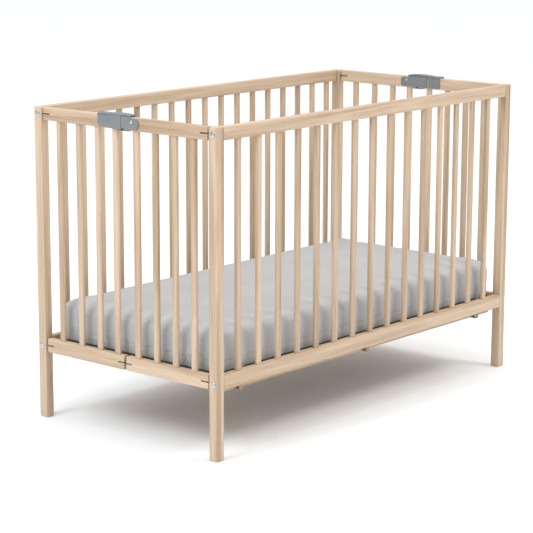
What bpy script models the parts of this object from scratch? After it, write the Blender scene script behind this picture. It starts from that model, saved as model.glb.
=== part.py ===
import math

import bmesh
import bpy
from mathutils import Matrix, Vector

# Folding slatted cot with a tilting base and a loose mattress.
# Metres, +Z up. Length along X, width along Y, origin under the middle of the cot.

LENGTH = 1.26
WIDTH = 0.635
HEIGHT = 0.83
GAP = 0.0003

# Frame timber
POST_X = 0.025
POST_Y = 0.027
LONG_THICK = 0.020
END_THICK = 0.018
END_RECESS = 0.002
TOP_RAIL_Z = (0.797, 0.830)
LOW_RAIL_Z = (0.180, 0.217)
EDGE = 0.0025

# Slats
SLAT_WIDE = 0.018
SLAT_DEEP = 0.010
SLAT_TENON = 0.009
SLAT_EDGE = 0.002
# Per long side (back 1, front -1): how many slats, their pitch, and where the row is centred
LONG_SLATS = {1: (17, 0.0688, 0.016), -1: (15, 0.0765, -0.007)}
# Distance of each slat of an end from its middle: back half 1, front half -1
END_SLATS = {1: (0.032, 0.0945, 0.1625, 0.2335), -1: (0.040, 0.106, 0.1705, 0.234)}

# Fold
PIVOT_INSET = 0.022
LINK_PITCH = 0.030
POST_GAP = 0.005
MID_GAP = 0.008
PLATE_THICK = 0.002
KERF = 0.0026
PIN_R = 0.0025
CORNER_PLATE_R = 0.006
LINK_PLATE_R = 0.0074
PLATE_EMBED = 0.009
KERF_END = 0.0015

# Frame bolts
BOLT_TOP_Z = 0.8125
BOLT_LOW_Z = 0.195
BOLT_R = 0.003
BOLT_HEAD_R = 0.0075
BOLT_HEAD_H = 0.002
BOLT_REACH = 0.062
SOCKET_R = 0.0024
SOCKET_DEEP = 0.0015
NUT_R = 0.005
NUT_INSET = 0.030
NUT_LONG = 0.015

# Locks
LOCK_BOLT_Y = 0.0345
LOCK_BOLT_Z = 0.8195
LOCK_BOLT_R = 0.0022
LOCK_HEAD_R = 0.005
LOCK_HEAD_H = 0.0018
CHEEK = 0.003
LOCK_TOP = 0.0024
CHEEK_STOP = 0.0068
EAR_END = 0.0568
EAR_R = 0.008
EAR_RISE = 0.010
LEVER_DROP = 0.019
LEVER_TOP_START = 0.0265
LEVER_TIP = 0.048
LEVER_INNER_TIP = 0.038
CATCH_INNER_START = 0.043
CATCH_END = 0.0837
TAB_END = 0.034
LOCK_FOOT_Z = 0.8045
TAB_FOOT_Z = 0.7973

# Base
BASE_HALF_X = 0.595
BASE_Z = (0.1675, 0.1785)
BASE_Y = (-0.288, 0.292)
BASE_AXIS = (0.288, 0.173)
BASE_RAIL_WIDE = 0.034
BASE_SLAT_WIDE = 0.050
BASE_SLAT_THICK = 0.008
BASE_SLAT_COUNT = 12
BASE_TIE_Y = (0.205, 0.235)
LEDGE_Y = (-0.284, -0.258)
LEDGE_DEEP = 0.007
BASE_TENON = 0.010
BRACKETS = (("left", -0.518), ("middle", 0.0), ("right", 0.518))
BRACKET_WIDE = 0.014
BRACKET_THICK = 0.0016
HINGE_R = 0.0038
HINGE_PIN_R = 0.0015
HINGE_PIN_REACH = 0.012

# Mattress
MATTRESS_HALF_X = 0.602
MATTRESS_Y = (-0.2935, 0.2810)
MATTRESS_Z = (0.179, 0.322)
MATTRESS_ROUND = 0.024

POST_CX = LENGTH / 2 - POST_X / 2
POST_CY = WIDTH / 2 - POST_Y / 2
POST_IN_X = LENGTH / 2 - POST_X
POST_IN_Y = WIDTH / 2 - POST_Y
LONG_CY = WIDTH / 2 - LONG_THICK / 2
END_CX = LENGTH / 2 - END_RECESS - END_THICK / 2
PIVOT_OUT = POST_IN_Y - PIVOT_INSET
PIVOT_MID = LINK_PITCH / 2
RAILS = (("top", TOP_RAIL_Z), ("lower", LOW_RAIL_Z))
SIDES = (("left", -1), ("right", 1))


def clear_scene():
    for obj in list(bpy.data.objects):
        bpy.data.objects.remove(obj, do_unlink=True)


def material(name, color, rough, metal=0.0):
    made = bpy.data.materials.new(name)
    made.use_nodes = True
    shader = made.node_tree.nodes["Principled BSDF"]
    shader.inputs["Base Color"].default_value = (*color, 1.0)
    shader.inputs["Roughness"].default_value = rough
    shader.inputs["Metallic"].default_value = metal
    made.diffuse_color = (*color, 1.0)
    return made


def span(a, b):
    return (min(a, b), max(a, b))


def box_into(bm, xs, ys, zs, edge=0.0, along=None):
    """Add a box; edge rounds the four edges that run along the named axis."""
    low = Vector((span(*xs)[0], span(*ys)[0], span(*zs)[0]))
    high = Vector((span(*xs)[1], span(*ys)[1], span(*zs)[1]))
    middle = (low + high) / 2
    move = Matrix.Translation(middle) @ Matrix.Diagonal((*(high - low), 1.0))
    made = bmesh.ops.create_cube(bm, size=1.0, matrix=move)
    if edge:
        axis = "xyz".index(along)
        edges = set()
        for vert in made["verts"]:
            for item in vert.link_edges:
                run = item.verts[0].co - item.verts[1].co
                if abs(run[axis]) > 0.9 * run.length:
                    edges.add(item)
        bmesh.ops.bevel(
            bm, geom=list(edges), offset=edge, segments=1, profile=0.5, affect="EDGES"
        )


def rod_into(bm, start, end, radius, sides=12):
    start = Vector(start)
    run = Vector(end) - start
    turn = Vector((0, 0, 1)).rotation_difference(run.normalized()).to_matrix().to_4x4()
    bmesh.ops.create_cone(
        bm,
        cap_ends=True,
        segments=sides,
        radius1=radius,
        radius2=radius,
        depth=run.length,
        matrix=Matrix.Translation(start + run / 2) @ turn,
    )


def prism_into(bm, outline, axis, low, high):
    """Extrude an outline of 2-D points along an axis, from low to high."""
    rows = []
    for level in (low, high):
        row = []
        for u, v in outline:
            point = [u, v]
            point.insert("xyz".index(axis), level)
            row.append(bm.verts.new(point))
        rows.append(row)
    bm.faces.new(rows[0])
    bm.faces.new(list(reversed(rows[1])))
    for i in range(len(outline)):
        j = (i + 1) % len(outline)
        bm.faces.new((rows[0][i], rows[1][i], rows[1][j], rows[0][j]))


def finish_mesh(bm, name):
    bmesh.ops.recalc_face_normals(bm, faces=bm.faces)
    mesh = bpy.data.meshes.new(name)
    bm.to_mesh(mesh)
    bm.free()
    obj = bpy.data.objects.new(name, mesh)
    bpy.context.scene.collection.objects.link(obj)
    return obj


def combine(obj, fill, operation):
    """Unite or cut a piece with the solids that fill(bm) builds."""
    bm = bmesh.new()
    fill(bm)
    tool = finish_mesh(bm, obj.name + "_tool")
    change = obj.modifiers.new("change", "BOOLEAN")
    change.operation = operation
    change.solver = "EXACT"
    change.use_self = True
    change.object = tool
    graph = bpy.context.evaluated_depsgraph_get()
    mesh = bpy.data.meshes.new_from_object(obj.evaluated_get(graph))
    obj.modifiers.remove(change)
    obj.data = mesh
    bpy.data.objects.remove(tool, do_unlink=True)


def part(name, fill, look, origin=(0, 0, 0), add=None, cut=None):
    """Make one named solid: fill(bm) and add(bm) build it, cut(bm) builds what is cut away."""
    bm = bmesh.new()
    fill(bm)
    obj = finish_mesh(bm, name)
    if add:
        combine(obj, add, "UNION")
    if cut:
        combine(obj, cut, "DIFFERENCE")
    obj.data.materials.clear()
    obj.data.materials.append(look)
    obj.data.transform(Matrix.Translation(-Vector(origin)))
    obj.location = origin
    return obj


def capsule(ax, ay, bx, by, radius, sides=6):
    """Outline of a flat bar with round ends, from A to B in plan."""
    turn = math.atan2(by - ay, bx - ax)
    points = []
    for px, py, base in ((bx, by, turn - math.pi / 2), (ax, ay, turn + math.pi / 2)):
        for i in range(sides + 1):
            angle = base + math.pi * i / sides
            points.append((px + radius * math.cos(angle), py + radius * math.sin(angle)))
    return points


def lathe_x(bm, y, z, outline, sides=12):
    """Turn (radius, x) points about the line through y, z along X. Ends lie on the axis."""
    rings = []
    for radius, x in outline:
        if radius == 0.0:
            rings.append([bm.verts.new((x, y, z))])
            continue
        ring = []
        for i in range(sides):
            angle = 2 * math.pi * i / sides
            point = (x, y + radius * math.cos(angle), z + radius * math.sin(angle))
            ring.append(bm.verts.new(point))
        rings.append(ring)
    for a, b in zip(rings, rings[1:]):
        for i in range(sides):
            j = (i + 1) % sides
            if len(a) == 1:
                bm.faces.new((a[0], b[i], b[j]))
            elif len(b) == 1:
                bm.faces.new((a[i], a[j], b[0]))
            else:
                bm.faces.new((a[i], a[j], b[j], b[i]))


def kerf_z(zs):
    middle = sum(zs) / 2
    return (middle - KERF / 2, middle + KERF / 2)


def plate_z(zs):
    middle = sum(zs) / 2
    return (middle - PLATE_THICK / 2, middle + PLATE_THICK / 2)


def link_z(zs):
    """The top link lies under its rails, clear of the lock; the lower one is let into them."""
    if zs is TOP_RAIL_Z:
        return (zs[0] - GAP - PLATE_THICK, zs[0] - GAP)
    return plate_z(zs)


def pin_z(zs):
    return (zs[0] + 0.001, zs[1] - 0.007)


def link_pin_z(zs):
    return (min(zs[0] + 0.001, link_z(zs)[0]), zs[1] - 0.007)


def mortise_z():
    return (TOP_RAIL_Z[0] - 0.01, TOP_RAIL_Z[0] + SLAT_TENON + GAP)


def slat_z():
    return (LOW_RAIL_Z[1] - SLAT_TENON, TOP_RAIL_Z[0] + SLAT_TENON)


def long_slat_xs(sy):
    count, pitch, middle = LONG_SLATS[sy]
    first = middle - pitch * (count - 1) / 2
    return [first + pitch * i for i in range(count)]


def bolt_z(rail_name):
    return BOLT_TOP_Z if rail_name == "top" else BOLT_LOW_Z


def nut_x(sx):
    return sx * (POST_IN_X - NUT_INSET)


def post(name, sx, sy, wood, origin):
    """A leg with the holes for its frame bolts and the slots for its hinge plates."""
    cx = sx * POST_CX
    cy = sy * POST_CY

    def fill(bm):
        xs = (cx - POST_X / 2, cx + POST_X / 2)
        ys = (cy - POST_Y / 2, cy + POST_Y / 2)
        box_into(bm, xs, ys, (0, HEIGHT), EDGE, "z")

    def cut(bm):
        half = CORNER_PLATE_R + GAP
        for rail_name, zs in RAILS:
            z = bolt_z(rail_name)
            start = (sx * (LENGTH / 2 + 0.01), cy, z)
            rod_into(bm, start, (sx * (POST_IN_X - 0.01), cy, z), BOLT_R + GAP)
            ys = (sy * (POST_IN_Y - 0.01), sy * (POST_IN_Y + PLATE_EMBED + GAP))
            box_into(bm, (sx * END_CX - half, sx * END_CX + half), ys, kerf_z(zs))

    part(name, fill, wood, origin, cut=cut)


def long_rail(name, sy, rail_name, zs, wood, origin):
    """A rail of a long side. The lower one carries the slats; the top one is slotted for them."""
    cy = sy * LONG_CY
    inner = sy * (WIDTH / 2 - LONG_THICK)
    z = bolt_z(rail_name)

    def fill(bm):
        xs = (-POST_IN_X + GAP, POST_IN_X - GAP)
        box_into(bm, xs, (cy - LONG_THICK / 2, cy + LONG_THICK / 2), zs, EDGE, "x")

    def slats(bm):
        for x in long_slat_xs(sy):
            xs = (x - SLAT_WIDE / 2, x + SLAT_WIDE / 2)
            ys = (cy - SLAT_DEEP / 2, cy + SLAT_DEEP / 2)
            box_into(bm, xs, ys, slat_z(), SLAT_EDGE, "z")

    def bores(bm):
        for _, sx in SIDES:
            far = sx * (LENGTH / 2 - BOLT_REACH - GAP)
            start = (sx * (POST_IN_X + 0.01), sy * POST_CY, z)
            rod_into(bm, start, (far, sy * POST_CY, z), BOLT_R + GAP)
            deep = inner + sy * (NUT_LONG + 2 * GAP)
            rod_into(bm, (nut_x(sx), inner - sy * 0.01, z), (nut_x(sx), deep, z), NUT_R + GAP)

    def top_cuts(bm):
        bores(bm)
        for x in long_slat_xs(sy):
            half_w = SLAT_WIDE / 2 + GAP
            half_d = SLAT_DEEP / 2 + GAP
            box_into(bm, (x - half_w, x + half_w), (cy - half_d, cy + half_d), mortise_z())

    if rail_name == "top":
        part(name, fill, wood, origin, cut=top_cuts)
    else:
        part(name, fill, wood, origin, add=slats, cut=bores)


def frame_bolt(name, sx, sy, z, zinc, origin):
    face = sx * (LENGTH / 2 + GAP)
    top = face + sx * BOLT_HEAD_H
    reach = sx * (LENGTH / 2 - BOLT_REACH)
    outline = (
        (0.0, reach),
        (BOLT_R, reach),
        (BOLT_R, face),
        (BOLT_HEAD_R, face),
        (BOLT_HEAD_R, face + sx * BOLT_HEAD_H * 0.5),
        (BOLT_HEAD_R - 0.001, top),
        (SOCKET_R, top),
        (SOCKET_R, top - sx * SOCKET_DEEP),
        (0.0, top - sx * SOCKET_DEEP),
    )
    part(name, lambda bm: lathe_x(bm, sy * POST_CY, z, outline), zinc, origin)


def barrel_nut(name, sx, sy, z, zinc, origin):
    inner = sy * (WIDTH / 2 - LONG_THICK)

    def fill(bm):
        start = (nut_x(sx), inner + sy * GAP, z)
        rod_into(bm, start, (nut_x(sx), inner + sy * NUT_LONG, z), NUT_R)

    def bore(bm):
        y = sy * POST_CY
        rod_into(bm, (nut_x(sx) - 0.02, y, z), (nut_x(sx) + 0.02, y, z), BOLT_R + GAP)

    part(name, fill, zinc, origin, cut=bore)


def corner_hinge(name, sx, sy, zs, steel, origin):
    """A flat plate let into the leg, with the pin that the end rail turns on."""
    cx = sx * END_CX
    near = sy * PIVOT_OUT

    def plate(bm):
        far = sy * (POST_IN_Y + PLATE_EMBED)
        outline = [(cx - CORNER_PLATE_R, far), (cx + CORNER_PLATE_R, far)]
        for i in range(9):
            angle = math.pi * i / 8
            y = near - sy * CORNER_PLATE_R * math.sin(angle)
            outline.append((cx + CORNER_PLATE_R * math.cos(angle), y))
        prism_into(bm, outline, "z", *plate_z(zs))

    def pin(bm):
        low, high = pin_z(zs)
        rod_into(bm, (cx, near, low), (cx, near, high), PIN_R)

    part(name, plate, steel, origin, add=pin)


def side_frame(prefix, sy, looks, origin):
    """The front (sy -1) or back (sy 1) side: legs, rails with slats, bolts and hinge plates."""
    for side_name, sx in SIDES:
        post(f"{prefix}_{side_name}_leg", sx, sy, looks["wood"], origin)
    for rail_name, zs in RAILS:
        piece = "rail" if rail_name == "top" else "slatted_rail"
        long_rail(f"{prefix}_{rail_name}_{piece}", sy, rail_name, zs, looks["wood"], origin)
        for side_name, sx in SIDES:
            place = f"{prefix}_{side_name}_{rail_name}"
            frame_bolt(f"{place}_bolt", sx, sy, bolt_z(rail_name), looks["zinc"], origin)
            barrel_nut(f"{place}_nut", sx, sy, bolt_z(rail_name), looks["zinc"], origin)
            corner_hinge(f"{place}_hinge", sx, sy, zs, looks["steel"], origin)


def half_origin(sx, sy):
    return (sx * END_CX, sy * (PIVOT_OUT if sy > 0 else PIVOT_MID), 0)


def end_rail(name, sx, sy, rail_name, zs, wood, holds_lever):
    """A rail of one half of an end, slotted for its hinge plates and bored for their pins."""
    cx = sx * END_CX
    thick = (cx - 0.02, cx + 0.02)

    def fill(bm):
        ends = (sy * MID_GAP / 2, sy * (POST_IN_Y - POST_GAP))
        box_into(bm, (cx - END_THICK / 2, cx + END_THICK / 2), ends, zs, EDGE, "y")

    def slats(bm):
        for y in END_SLATS[sy]:
            ys = (sy * y - SLAT_WIDE / 2, sy * y + SLAT_WIDE / 2)
            box_into(bm, (cx - SLAT_DEEP / 2, cx + SLAT_DEEP / 2), ys, slat_z(), SLAT_EDGE, "z")

    def hinge_cuts(bm):
        outer = (sy * (PIVOT_OUT - CORNER_PLATE_R - KERF_END), sy * POST_IN_Y)
        inner = (0.0, sy * (PIVOT_MID + LINK_PLATE_R + KERF_END))
        box_into(bm, thick, outer, kerf_z(zs))
        if rail_name != "top":
            box_into(bm, thick, inner, kerf_z(zs))
        for y in (PIVOT_OUT, PIVOT_MID):
            top = (cx, sy * y, pin_z(zs)[1] + GAP)
            rod_into(bm, (cx, sy * y, zs[0] - 0.01), top, PIN_R + GAP)

    def top_cuts(bm):
        hinge_cuts(bm)
        half_d = SLAT_DEEP / 2 + GAP
        half_w = SLAT_WIDE / 2 + GAP
        for y in END_SLATS[sy]:
            ys = (sy * y - half_w, sy * y + half_w)
            box_into(bm, (cx - half_d, cx + half_d), ys, mortise_z())
        if holds_lever:
            y = sy * LOCK_BOLT_Y
            start = (thick[0], y, LOCK_BOLT_Z)
            rod_into(bm, start, (thick[1], y, LOCK_BOLT_Z), LOCK_BOLT_R + GAP)

    if rail_name == "top":
        part(name, fill, wood, half_origin(sx, sy), cut=top_cuts)
    else:
        part(name, fill, wood, half_origin(sx, sy), add=slats, cut=hinge_cuts)


def link(name, sx, zs, steel):
    """The plate that joins the two halves of an end, with its two pins."""
    cx = sx * END_CX

    def plate(bm):
        prism_into(bm, capsule(cx, -PIVOT_MID, cx, PIVOT_MID, LINK_PLATE_R), "z", *link_z(zs))

    def pins(bm):
        low, high = link_pin_z(zs)
        for y in (-PIVOT_MID, PIVOT_MID):
            rod_into(bm, (cx, y, low), (cx, y, high), PIN_R)

    part(name, plate, steel, (cx, PIVOT_MID, 0), add=pins)


def lock_faces(sx):
    """X of the inner face of the outer cheek and of the inner cheek."""
    reach = sx * (END_THICK / 2 + GAP)
    return sx * END_CX + reach, sx * END_CX - reach


def lock_catch(name, sx, plastic):
    """Fixed part of a lock: a saddle on the end of one top rail."""
    sy = -sx
    out, inn = lock_faces(sx)
    top = (TOP_RAIL_Z[1] + GAP, TOP_RAIL_Z[1] + LOCK_TOP)

    def outer_cheek(bm):
        outline = (
            (sy * CHEEK_STOP, top[1]),
            (sy * CHEEK_STOP, TAB_FOOT_Z),
            (sy * TAB_END, TAB_FOOT_Z),
            (sy * TAB_END, LOCK_FOOT_Z),
            (sy * CATCH_END, LOCK_FOOT_Z),
            (sy * CATCH_END, top[1]),
        )
        prism_into(bm, outline, "x", *span(out, out + sx * CHEEK))

    def rest(bm):
        xs = (out + sx * CHEEK / 2, inn + sx * GAP)
        box_into(bm, xs, (sy * CHEEK_STOP, sy * CATCH_END), top)
        ys = (sy * CATCH_INNER_START, sy * CATCH_END)
        box_into(bm, (inn + sx * CHEEK, inn - sx * CHEEK / 2), ys, top)
        box_into(bm, (inn, inn - sx * CHEEK), ys, (LOCK_FOOT_Z, top[1]))

    part(name, outer_cheek, plastic, half_origin(sx, sy), add=rest)


def lock_lever(name, sx, plastic):
    """Moving part of a lock: two cheeks on a cross bolt and a top that spans the joint."""
    sy = sx
    out, inn = lock_faces(sx)
    low = TOP_RAIL_Z[1] + GAP
    step = TOP_RAIL_Z[1] + LOCK_TOP + GAP
    high = step + LOCK_TOP
    foot = LOCK_BOLT_Z - LEVER_DROP

    def cheek_into(bm, reach, xs):
        middle = (LOCK_BOLT_Y + EAR_END - EAR_R) / 2
        outline = [(sy * LEVER_TOP_START, high)]
        for i in range(7):
            angle = math.pi / 2 * (1 - i / 6)
            y = middle + (EAR_END - middle) * math.cos(angle)
            outline.append((sy * y, LOCK_BOLT_Z + EAR_RISE * math.sin(angle)))
        outline += [
            (sy * EAR_END, foot + EAR_R / 2),
            (sy * (EAR_END - EAR_R / 2), foot),
            (sy * reach, foot),
            (sy * reach, high),
        ]
        prism_into(bm, outline, "x", *span(*xs))

    def rest(bm):
        cheek_into(bm, -LEVER_INNER_TIP, (inn, inn - sx * CHEEK))
        xs = (out + sx * CHEEK / 2, inn - sx * CHEEK / 2)
        box_into(bm, xs, (sy * LEVER_TOP_START, sy * CHEEK_STOP), (low, high - GAP))
        xs = (out + sx * (CHEEK - GAP), inn - sx * (CHEEK - GAP))
        box_into(bm, xs, (sy * (LEVER_TOP_START - 0.001), -sy * LEVER_TIP), (step, high))

    def bore(bm):
        start = (sx * END_CX - 0.03, sy * LOCK_BOLT_Y, LOCK_BOLT_Z)
        end = (sx * END_CX + 0.03, sy * LOCK_BOLT_Y, LOCK_BOLT_Z)
        rod_into(bm, start, end, LOCK_BOLT_R + GAP)

    def outer_cheek(bm):
        cheek_into(bm, CHEEK_STOP, (out, out + sx * CHEEK))

    origin = (sx * END_CX, sy * LOCK_BOLT_Y, LOCK_BOLT_Z)
    part(name, outer_cheek, plastic, origin, add=rest, cut=bore)


def lock_bolt(name, sx, zinc):
    sy = sx
    cx = sx * END_CX
    half = END_THICK / 2 + 2 * GAP + CHEEK
    out = cx + sx * half
    inn = cx - sx * half
    head = sx * LOCK_HEAD_H
    rim = 0.8 * LOCK_HEAD_R
    outline = (
        (0.0, inn - head),
        (rim, inn - head),
        (LOCK_HEAD_R, inn - head / 2),
        (LOCK_HEAD_R, inn),
        (LOCK_BOLT_R, inn),
        (LOCK_BOLT_R, out),
        (LOCK_HEAD_R, out),
        (LOCK_HEAD_R, out + head / 2),
        (rim, out + head),
        (0.0, out + head),
    )
    origin = half_origin(sx, sy)
    part(name, lambda bm: lathe_x(bm, sy * LOCK_BOLT_Y, LOCK_BOLT_Z, outline), zinc, origin)


def base_slat_xs():
    reach = BASE_HALF_X - BASE_SLAT_WIDE / 2
    step = 2 * reach / (BASE_SLAT_COUNT - 1)
    return [-reach + step * i for i in range(BASE_SLAT_COUNT)]


def base(wood):
    """The slatted base. Its slats are glued to a tie rail and housed in the back rail."""
    origin = (0, *BASE_AXIS)
    middle = sum(BASE_Z) / 2
    back_inner = BASE_Y[1] - BASE_RAIL_WIDE

    def back_rail(bm):
        box_into(bm, (-BASE_HALF_X, BASE_HALF_X), (back_inner, BASE_Y[1]), BASE_Z, 0.0015, "x")

    def back_cuts(bm):
        thick = BASE_SLAT_THICK / 2 + GAP
        for x in base_slat_xs():
            wide = BASE_SLAT_WIDE / 2 + GAP
            ys = (back_inner - 0.01, back_inner + BASE_TENON + GAP)
            box_into(bm, (x - wide, x + wide), ys, (middle - thick, middle + thick))
        for _, x in BRACKETS:
            wide = BRACKET_WIDE / 2 + 0.002
            ys = (BASE_AXIS[0] - HINGE_R - 0.003, BASE_Y[1] + 0.01)
            box_into(bm, (x - wide, x + wide), ys, (BASE_Z[0] - 0.01, BASE_Z[1] + 0.01))
            reach = wide + HINGE_PIN_REACH + GAP
            start = (x - reach, *BASE_AXIS)
            rod_into(bm, start, (x + reach, *BASE_AXIS), HINGE_PIN_R + GAP)

    def tie_rail(bm):
        zs = (middle - BASE_SLAT_THICK / 2, BASE_Z[1])
        box_into(bm, (-BASE_HALF_X, BASE_HALF_X), BASE_TIE_Y, zs, 0.001, "x")

    def slats(bm):
        for x in base_slat_xs():
            xs = (x - BASE_SLAT_WIDE / 2, x + BASE_SLAT_WIDE / 2)
            thick = BASE_SLAT_THICK / 2
            ys = (BASE_Y[0], back_inner + BASE_TENON)
            box_into(bm, xs, ys, (middle - thick, middle + thick), 0.0015, "y")

    part("base_back_rail", back_rail, wood, origin, cut=back_cuts)
    part("base_slats", tie_rail, wood, origin, add=slats)


def base_hinge(name, x, steel):
    """A plate on the back rail with a knuckle and the pin that carries the base."""
    face = WIDTH / 2 - LONG_THICK - GAP
    near = face - BRACKET_THICK
    axis_y, axis_z = BASE_AXIS

    def plate(bm):
        outline = []
        for i in range(9):
            angle = math.pi / 2 + math.pi * i / 8
            outline.append((axis_y + HINGE_R * math.cos(angle), axis_z + HINGE_R * math.sin(angle)))
        outline += [
            (face, axis_z - HINGE_R),
            (face, LOW_RAIL_Z[1] - 0.003),
            (near, LOW_RAIL_Z[1] - 0.003),
            (near, axis_z + HINGE_R),
        ]
        prism_into(bm, outline, "x", x - BRACKET_WIDE / 2, x + BRACKET_WIDE / 2)

    def pin(bm):
        reach = BRACKET_WIDE / 2 + HINGE_PIN_REACH
        rod_into(bm, (x - reach, axis_y, axis_z), (x + reach, axis_y, axis_z), HINGE_PIN_R)

    part(name, plate, steel, add=pin)


def ledge_z():
    """The ledge carries the free ends of the base's slats."""
    top = sum(BASE_Z) / 2 - BASE_SLAT_THICK / 2 - GAP
    return (top - LEDGE_DEEP, top)


def base_ledge(wood, origin):
    def fill(bm):
        box_into(bm, (-BASE_HALF_X, BASE_HALF_X), LEDGE_Y, ledge_z(), 0.0015, "x")

    part("base_ledge", fill, wood, origin)


def base_support(name, x, steel, origin):
    """An angle plate that hangs the ledge from the front rail, between two slats."""
    face = -(WIDTH / 2 - LONG_THICK - GAP)
    near = face + BRACKET_THICK
    foot = ledge_z()[0] - GAP

    def plate(bm):
        outline = (
            (face, foot - BRACKET_THICK),
            (LEDGE_Y[1], foot - BRACKET_THICK),
            (LEDGE_Y[1], foot),
            (near, foot),
            (near, LOW_RAIL_Z[1] + 0.003),
            (face, LOW_RAIL_Z[1] + 0.003),
        )
        prism_into(bm, outline, "x", x - BRACKET_WIDE / 2, x + BRACKET_WIDE / 2)

    part(name, plate, steel, origin)


def mattress(cloth):
    def fill(bm):
        xs = (-MATTRESS_HALF_X, MATTRESS_HALF_X)
        box_into(bm, xs, MATTRESS_Y, MATTRESS_Z)
        bmesh.ops.bevel(
            bm, geom=list(bm.edges), offset=MATTRESS_ROUND, segments=3, profile=0.5, affect="EDGES"
        )

    part("mattress", fill, cloth, (0, 0, MATTRESS_Z[0]))


def main():
    clear_scene()
    looks = {
        "wood": material("beech", (0.72, 0.55, 0.38), 0.5),
        "plastic": material("lock_plastic", (0.27, 0.29, 0.31), 0.4),
        "zinc": material("zinc", (0.62, 0.63, 0.64), 0.35, 1.0),
        "steel": material("hinge_steel", (0.55, 0.56, 0.57), 0.4, 1.0),
        "cloth": material("mattress_cloth", (0.62, 0.61, 0.60), 0.9),
    }
    front_origin = (-END_CX, -PIVOT_OUT, 0)
    side_frame("back", 1, looks, (0, 0, 0))
    side_frame("front", -1, looks, front_origin)
    for side_name, sx in SIDES:
        for half_name, sy in (("back", 1), ("front", -1)):
            for rail_name, zs in RAILS:
                piece = "rail" if rail_name == "top" else "slatted_rail"
                name = f"{side_name}_{half_name}_half_{rail_name}_{piece}"
                end_rail(name, sx, sy, rail_name, zs, looks["wood"], sx == sy)
        for rail_name, zs in RAILS:
            link(f"{side_name}_{rail_name}_link", sx, zs, looks["steel"])
        lock_catch(f"{side_name}_lock_catch", sx, looks["plastic"])
        lock_lever(f"{side_name}_lock_lever", sx, looks["plastic"])
        lock_bolt(f"{side_name}_lock_bolt", sx, looks["zinc"])
    base(looks["wood"])
    base_ledge(looks["wood"], front_origin)
    for place, x in BRACKETS:
        base_hinge(f"base_hinge_{place}", x, looks["steel"])
        base_support(f"base_support_{place}", x, looks["steel"], front_origin)
    mattress(looks["cloth"])


main()
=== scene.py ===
"""Looks of the folding slatted cot: beech frame, moulded locks, zinc fittings, soft mattress."""
import math

import bmesh
import bpy
import numpy as np
from mathutils import Matrix, Vector, noise


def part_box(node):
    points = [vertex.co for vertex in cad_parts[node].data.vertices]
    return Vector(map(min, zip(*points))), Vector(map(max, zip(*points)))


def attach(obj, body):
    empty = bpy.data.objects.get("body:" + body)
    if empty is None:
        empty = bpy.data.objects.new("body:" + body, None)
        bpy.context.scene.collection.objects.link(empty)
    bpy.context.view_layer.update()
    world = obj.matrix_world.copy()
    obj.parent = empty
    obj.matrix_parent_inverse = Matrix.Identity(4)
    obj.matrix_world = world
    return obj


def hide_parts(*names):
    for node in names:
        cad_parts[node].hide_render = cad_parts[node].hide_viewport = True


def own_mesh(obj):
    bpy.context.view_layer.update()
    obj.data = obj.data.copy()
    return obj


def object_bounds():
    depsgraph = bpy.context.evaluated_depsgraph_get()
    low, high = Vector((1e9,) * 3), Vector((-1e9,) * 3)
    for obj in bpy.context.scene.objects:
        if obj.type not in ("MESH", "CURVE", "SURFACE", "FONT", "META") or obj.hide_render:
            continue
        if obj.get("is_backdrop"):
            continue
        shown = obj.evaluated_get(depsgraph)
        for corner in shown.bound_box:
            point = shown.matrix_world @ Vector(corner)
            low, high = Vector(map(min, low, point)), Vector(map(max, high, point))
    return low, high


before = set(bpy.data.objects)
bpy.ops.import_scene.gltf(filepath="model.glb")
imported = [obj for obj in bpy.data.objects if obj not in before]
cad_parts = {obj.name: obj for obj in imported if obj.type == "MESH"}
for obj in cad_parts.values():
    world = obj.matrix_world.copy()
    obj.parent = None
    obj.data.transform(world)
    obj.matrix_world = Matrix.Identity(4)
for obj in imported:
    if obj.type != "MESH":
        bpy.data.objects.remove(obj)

CAD_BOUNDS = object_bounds()

SIDES = (("left", -1), ("right", 1))
HALVES = (("back", 1), ("front", -1))

# All lengths are in metres. Long sides run along x, ends along y, back is +y.

# Camera
CAMERA_PLACE = (-4.037, -3.376, 1.443)
CAMERA_YAW = 0.8653
CAMERA_PITCH = -0.2044
CAMERA_ROLL = 0.0031
CAMERA_LENS = 130.9
CAMERA_FAR = 60.0

# Studio: strength of the dome at the horizon and overhead, and two lamps with
# place, target, size, watts and colour
SKY_LOW = 0.03
SKY_HIGH = 1.60
LAMPS = {
    "key_right": ((1.5, -3.0, 4.0), (0.0, 0.0, 0.3), 1.5, 66.0, (1.0, 0.93, 0.84)),
    "key_left": ((-3.6, 0.3, 3.6), (0.0, 0.0, 0.4), 2.2, 84.0, (0.92, 0.97, 1.0)),
}
FLOOR_HALF = 30.0
FLOOR_DROP = 0.0003
FLOOR_GLOW = 0.03
WHITE = (1.0, 1.0, 1.0, 1.0)

# Edges meeting at more than this many degrees stay sharp
SHARP = 35.0

# Frame timber: long slats are count, pitch and middle for each side; end slats are
# distances from the middle of the end for each half
TOP_RAIL_Z = (0.797, 0.830)
LOW_RAIL_Z = (0.180, 0.217)
SLAT_WIDE = 0.018
SLAT_DEEP = 0.010
SLAT_BURY = 0.006
LONG_SLATS = {1: (17, 0.0688, 0.016), -1: (15, 0.0765, -0.007)}
END_SLATS = {1: (0.032, 0.0945, 0.1625, 0.2335), -1: (0.040, 0.106, 0.1705, 0.234)}
PIVOT_OUT = 0.2685
PIVOT_MID = 0.015
RAIL_ROUND = 0.0017
SLAT_ROUND = 0.0034

# Slots for the hinge plates and bores for their pins
KERF = 0.0036
KERF_OUT = 0.0075
KERF_MID = 0.0095
KERF_PAST = 0.03
PIN_BORE = 0.0028
PIN_STOP = 0.0065
CUT_PAST = 0.01

# Bolts in the end faces of the legs
BOLT_SEAT_X = 0.6303
BOLT_HEX_R = 0.0033

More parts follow.
